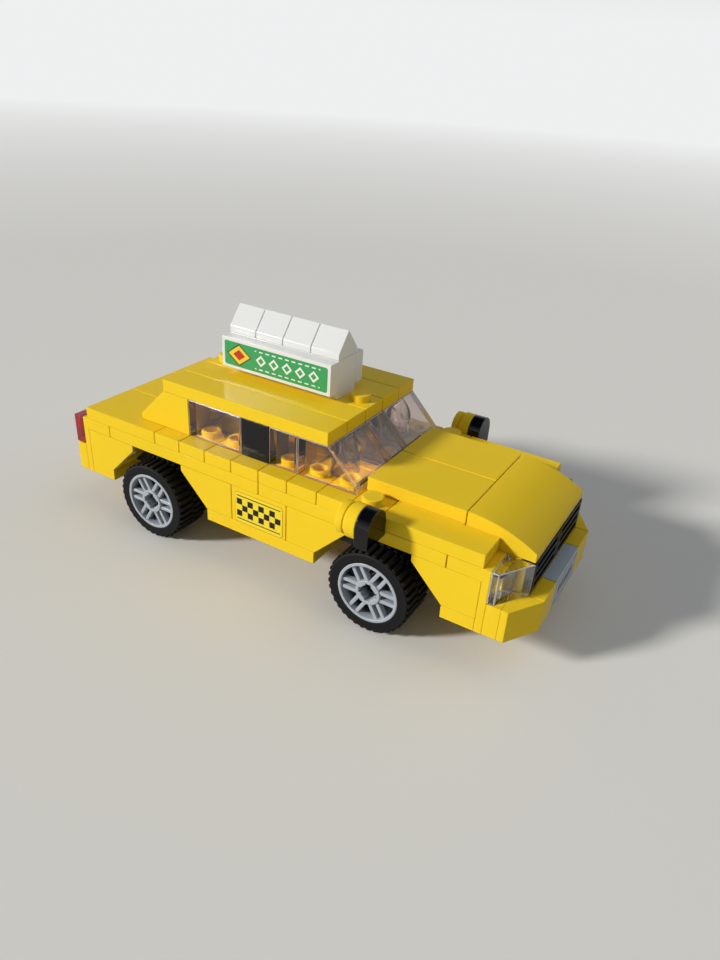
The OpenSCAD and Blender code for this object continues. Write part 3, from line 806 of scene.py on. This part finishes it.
# %% Lay a label on each door
def lay_label(name, side):
    """A thin film with round corners on the door at one side: -1 is right, 1 is left."""
    deselect_all()
    bpy.ops.mesh.primitive_plane_add(
        size=1.0, location=(label_centre[0], side * door_face, label_centre[2]),
        rotation=(-side * pi / 2, 0.0, 0.0))
    label = bpy.context.object
    label.name = name
    label.scale = (label_width, label_height, 1.0)
    bpy.ops.object.transform_apply(location=True, rotation=True, scale=True)
    bpy.ops.object.mode_set(mode="EDIT")
    bpy.ops.mesh.select_all(action="SELECT")
    bpy.ops.mesh.bevel(offset=label_corner, segments=8, affect="VERTICES")
    bpy.ops.object.mode_set(mode="OBJECT")
    film = label.modifiers.new("film", "SOLIDIFY")
    film.thickness = label_thickness
    film.offset = 1.0
    bpy.ops.object.modifier_apply(modifier=film.name)
    dress(label, label_film, "car", "yellow")
    reach = max(abs(v.co.y) for v in label.data.vertices)
    print(name, "reaches", round(reach / mm, 3), "mm from the middle")


lay_label("door_label_right", -1)
lay_label("door_label_left", 1)

# %% Mould the clear pieces
for node in ("side_glass_left", "side_glass_right", "windscreen_left", "windscreen_middle",
             "windscreen_right", "rear_window"):
    mould(node, smoky_clear, "smoky_clear", width=0.22 * mm, finishes=(smoky_clear, smoky_edge))
mould("headlamps", lamp_clear, "clear", width=0.22 * mm, finishes=(lamp_clear, lamp_edge))
mould("tail_lights", lamp_red, "red_clear")

# %% Finish the hidden core, which keeps the frame's own shapes
for node in ("rear_core_bricks", "front_core_bricks", "middle_core_bricks",
             "rear_end_brick", "front_end_brick"):
    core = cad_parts[node]
    core.data.materials.clear()
    core.data.materials.append(core_grey)

# %% [markdown]
# ## The wheels
#
# The rims are light grey. Little light reaches the barrel behind the spokes, so its grey is painted
# darker with its depth behind the rim's outer face, as painted shade, and its roughness rises too.

# %% Paint shade into the rims with depth
rim_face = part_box("rim_front_right")[0][1]
dusk_from = 1.3 * mm
dusk_to = 2.8 * mm
barrel_shade = (0.04, 0.045, 0.05, 1.0)
tree = rim_grey.node_tree
rim_shader = tree.nodes["Principled BSDF"]
rim_surface = next(node for node in tree.nodes if node.type == "GROUP")
rim_place = add_node(tree, "ShaderNodeSeparateXYZ")
wire(tree, add_node(tree, "ShaderNodeTexCoord").outputs["Object"], rim_place.inputs[0])
out_from_middle = add_math(tree, "ABSOLUTE", rim_place.outputs["Y"], 0.0)
depth = add_math(tree, "SUBTRACT", abs(rim_face), out_from_middle)
# Painted shade: the barrel's grey goes dark with depth behind the outer face.
deep = add_range(tree, depth, dusk_from, dusk_to, 0.0, 0.85)
wire(tree, add_mix(tree, deep, rim_surface.outputs["Colour"], barrel_shade),
     rim_shader.inputs["Base Color"])
duller = add_math(tree, "MULTIPLY", deep, 0.3)
wire(tree, add_math(tree, "ADD", rim_surface.outputs["Roughness"], duller),
     rim_shader.inputs["Roughness"])
print("rim's outer face at", round(abs(rim_face) / mm, 2), "mm from the middle")

# %% Mould the wheels
rubber = moulded_plastic("tyre_rubber", (0.010, 0.0105, 0.011), roughness=0.55, gloss=0.12,
                         wear_and_highlight=0.03, bump=0.2)
for axle in ("rear", "front"):
    for side in ("left", "right"):
        body = f"wheel_{axle}_{side}"
        mould(f"rim_{axle}_{side}", rim_grey, "grey_rim", body, width=0.2 * mm)
        mould(f"tyre_{axle}_{side}", rubber, "tyre", body)

# %% [markdown]
# ## The stage
#
# A plain pale floor, a soft room and one broad light that comes in low from the left and front, as
# the window did, so the right side is the brightest and the shadow falls behind the bonnet. The
# floor fades into the pale background far away. That pale colour is only for what the camera, the
# gloss and the clear plastic see, so it puts no extra light on the toy. The backdrop is pale at the
# horizon and deepens overhead, as a room does, so that glossy tops keep their colour.

# %% Floor
def add_seen(tree):
    """1 for rays that see the background: from the camera, in gloss and through clear plastic."""
    path = add_node(tree, "ShaderNodeLightPath")
    seen = add_math(tree, "MAXIMUM", path.outputs["Is Camera Ray"], path.outputs["Is Glossy Ray"])
    return add_math(tree, "MAXIMUM", seen, path.outputs["Is Transmission Ray"]), path


background_colour = (0.86, 0.865, 0.87, 1.0)
fade_from = 0.35
fade_to = 1.6
deselect_all()
bpy.ops.mesh.primitive_circle_add(vertices=96, radius=8.0, fill_type="NGON", location=(0, 0, 0))
floor = bpy.context.object
floor.name = "pale_floor"
floor_material, floor_tree, floor_shader = new_material("pale_floor")
seen, path = add_seen(floor_tree)
floor_colour = add_mix(floor_tree, path.outputs["Is Camera Ray"],
                       (0.66, 0.65, 0.63, 1.0), (0.86, 0.84, 0.80, 1.0))
wire(floor_tree, floor_colour, floor_shader.inputs["Base Color"])
floor_shader.inputs["Roughness"].default_value = 0.7
floor_shader.inputs["Specular IOR Level"].default_value = 0.2
floor_place = add_node(floor_tree, "ShaderNodeTexCoord").outputs["Object"]
floor_distance = add_node(floor_tree, "ShaderNodeVectorMath", operation="LENGTH")
wire(floor_tree, floor_place, floor_distance.inputs[0])
far_off = add_range(floor_tree, floor_distance.outputs["Value"], fade_from, fade_to)
far_off = add_math(floor_tree, "MULTIPLY", far_off, seen)
haze = add_node(floor_tree, "ShaderNodeEmission", Color=background_colour, Strength=1.0)
fade = add_node(floor_tree, "ShaderNodeMixShader")
wire(floor_tree, far_off, fade.inputs[0])
wire(floor_tree, floor_shader.outputs[0], fade.inputs[1])
wire(floor_tree, haze.outputs[0], fade.inputs[2])
wire(floor_tree, fade.outputs[0], floor_tree.nodes["Material Output"].inputs["Surface"])
floor.data.materials.append(floor_material)

# %% World
world = bpy.data.worlds.new("soft_room")
bpy.context.scene.world = world
world.use_nodes = True
room_tree = world.node_tree
room_light = room_tree.nodes["Background"]
room_light.inputs["Color"].default_value = (0.88, 0.94, 1.0, 1.0)
room_light.inputs["Strength"].default_value = 0.21
room_seen = add_node(room_tree, "ShaderNodeBackground", Strength=1.0)
heading = add_node(room_tree, "ShaderNodeTexCoord").outputs["Generated"]
heading_parts = add_node(room_tree, "ShaderNodeSeparateXYZ")
wire(room_tree, heading, heading_parts.inputs[0])
overhead = add_range(room_tree, heading_parts.outputs["Z"], 0.05, 0.75)
backdrop = add_mix(room_tree, overhead, background_colour, (0.03, 0.035, 0.045, 1.0))
wire(room_tree, backdrop, room_seen.inputs["Color"])
seen, _ = add_seen(room_tree)
room_mix = add_node(room_tree, "ShaderNodeMixShader")
wire(room_tree, seen, room_mix.inputs[0])
wire(room_tree, room_light.outputs[0], room_mix.inputs[1])
wire(room_tree, room_seen.outputs[0], room_mix.inputs[2])
wire(room_tree, room_mix.outputs[0], room_tree.nodes["World Output"].inputs["Surface"])


# %% Lamps
def broad_light(name, heading, height, strength, spread, colour):
    """A distant soft light. heading and height say where it comes from, in degrees."""
    data = bpy.data.lights.new(name, "SUN")
    data.energy = strength
    data.angle = radians(spread)
    data.color = colour
    lamp = bpy.data.objects.new(name, data)
    bpy.context.scene.collection.objects.link(lamp)
    come_from = Vector((cos(radians(heading)) * cos(radians(height)),
                        sin(radians(heading)) * cos(radians(height)), sin(radians(height))))
    lamp.rotation_euler = (-come_from).to_track_quat("-Z", "Y").to_euler()


broad_light("window_light", heading=229.0, height=25.0, strength=2.95, spread=8.0,
            colour=(1.0, 0.985, 0.94))
broad_light("room_fill", heading=40.0, height=45.0, strength=0.4, spread=70.0,
            colour=(0.94, 0.97, 1.0))

# %% Finish
bpy.context.scene.view_settings.view_transform = "Standard"
